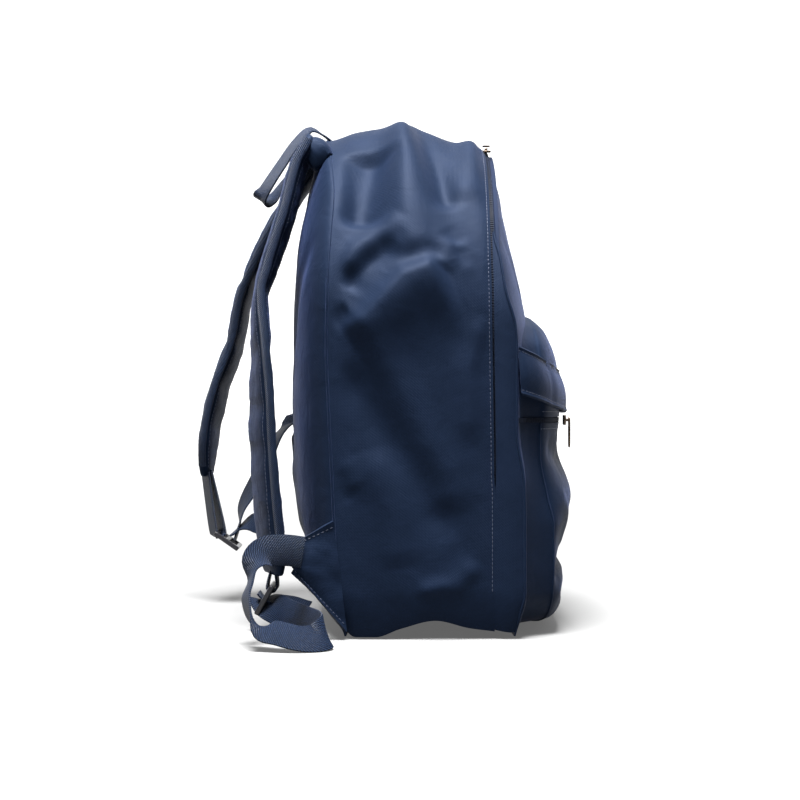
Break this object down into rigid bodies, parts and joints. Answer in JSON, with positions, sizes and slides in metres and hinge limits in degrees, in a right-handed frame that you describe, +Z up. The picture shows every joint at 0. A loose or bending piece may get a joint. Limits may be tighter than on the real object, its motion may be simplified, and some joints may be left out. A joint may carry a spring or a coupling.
{
  "type": "school backpack",
  "caption": "Soft school backpack with padded shoulder straps, an over-the-top zipped compartment and a zipped front pocket under a flap.",
  "frame": {"origin": "middle of the base, on the ground", "axes": "+Z up, +Y to the wearer's back, -Y to the front pocket, +X to the wearer's right"},
  "size_m": [0.3773, 0.332, 0.428],
  "materials": {
    "shell_cloth": "satin woven polyester",
    "padding": "satin woven polyester over foam",
    "foam": "open cell foam",
    "lining": "thin coated cloth",
    "seam_tape": "woven tape",
    "zip_tape": "woven tape with coil teeth",
    "webbing": "ribbed polypropylene",
    "metal": "antique",
    "plastic": "glossy"
  },
  "bodies": {
    "bag": {"rear_gusset": "shell_cloth", "base_panel": "shell_cloth", "back_cover": "shell_cloth", "back_foam": "foam", "back_lining": "lining", "back_seam_tape": "seam_tape", "front_panel": "shell_cloth", "front_gusset_left": "shell_cloth", "front_gusset_right": "shell_cloth", "main_zip_rear": "zip_tape", "main_zip_front_lower": "zip_tape", "pocket_panel": "shell_cloth", "pocket_zip": "zip_tape", "pocket_top": "shell_cloth", "strap_root_left": "shell_cloth", "strap_root_right": "shell_cloth", "strap_ear_left": "shell_cloth", "strap_ear_right": "shell_cloth", "lower_webbing_left": "webbing", "lower_webbing_right": "webbing"},
    "mouth": {"mouth_panel": "shell_cloth", "main_zip_front_upper": "zip_tape"},
    "zip_slider_left": {"main_slider_left": "metal"},
    "zip_slider_right": {"main_slider_right": "metal"},
    "zip_pull_left": {"main_pull_left": "metal"},
    "zip_pull_right": {"main_pull_right": "metal"},
    "pocket_zip_slider": {"pocket_slider": "metal"},
    "pocket_zip_pull": {"pocket_pull": "metal"},
    "flap": {"pocket_flap": "shell_cloth"},
    "haul": {"haul_loop": "webbing"},
    "strap_left": {"shoulder_pad_left": "padding", "pad_loop_left": "webbing"},
    "strap_right": {"shoulder_pad_right": "padding", "pad_loop_right": "webbing"},
    "lock_left": {"ladder_lock_left": "plastic"},
    "lock_right": {"ladder_lock_right": "plastic"}
  },
  "joints": [
    {"name": "mouth_fold", "type": "hinge", "parent": "bag", "child": "mouth", "pos_m": [0, -0.09, 0.283], "axis": [1, 0, 0], "range_deg": [0, 60]},
    {"name": "main_zip_left", "type": "hinge", "parent": "bag", "child": "zip_slider_left", "pos_m": [0, -0.05, 0.25], "axis": [0, -1, 0], "range_deg": [0, 66]},
    {"name": "main_zip_right", "type": "hinge", "parent": "bag", "child": "zip_slider_right", "pos_m": [0, -0.05, 0.25], "axis": [0, 1, 0], "range_deg": [0, 66]},
    {"name": "main_pull_left_swing", "type": "hinge", "parent": "zip_slider_left", "child": "zip_pull_left", "pos_m": [-0.02577, -0.0508, 0.40986], "axis": [0, 1, 0], "range_deg": [0, 120]},
    {"name": "main_pull_right_swing", "type": "hinge", "parent": "zip_slider_right", "child": "zip_pull_right", "pos_m": [0.02577, -0.0508, 0.40986], "axis": [0, -1, 0], "range_deg": [0, 120]},
    {"name": "pocket_zip_run", "type": "slide", "parent": "bag", "child": "pocket_zip_slider", "axis": [1, 0, 0], "range_m": [0, 0.14]},
    {"name": "pocket_pull_swing", "type": "hinge", "parent": "pocket_zip_slider", "child": "pocket_zip_pull", "pos_m": [-0.07, -0.1184, 0.1734], "axis": [-1, 0, 0], "range_deg": [0, 95]},
    {"name": "pocket_flap_lift", "type": "hinge", "parent": "bag", "child": "flap", "pos_m": [0, -0.088, 0.23], "axis": [-1, 0, 0], "range_deg": [0, 35]},
    {"name": "haul_loop_lift", "type": "hinge", "parent": "bag", "child": "haul", "pos_m": [0, 0.081, 0.4135], "axis": [1, 0, 0], "range_deg": [0, 100]},
    {"name": "strap_left_swing", "type": "hinge", "parent": "bag", "child": "strap_left", "pos_m": [-0.058, 0.1003, 0.40515], "axis": [1, 0, 0], "range_deg": [0, 30], "deforming": ["lower_webbing_left"]},
    {"name": "strap_right_swing", "type": "hinge", "parent": "bag", "child": "strap_right", "pos_m": [0.058, 0.1003, 0.40515], "axis": [1, 0, 0], "range_deg": [0, 15], "deforming": ["lower_webbing_right"]},
    {"name": "lock_left_tilt", "type": "hinge", "parent": "strap_left", "child": "lock_left", "pos_m": [-0.092, 0.127, 0.035], "axis": [1, 0, 0], "range_deg": [-30, 30]},
    {"name": "lock_right_tilt", "type": "hinge", "parent": "strap_right", "child": "lock_right", "pos_m": [0.092, 0.192, 0.064], "axis": [1, 0, 0], "range_deg": [-20, 45]}
  ]
}
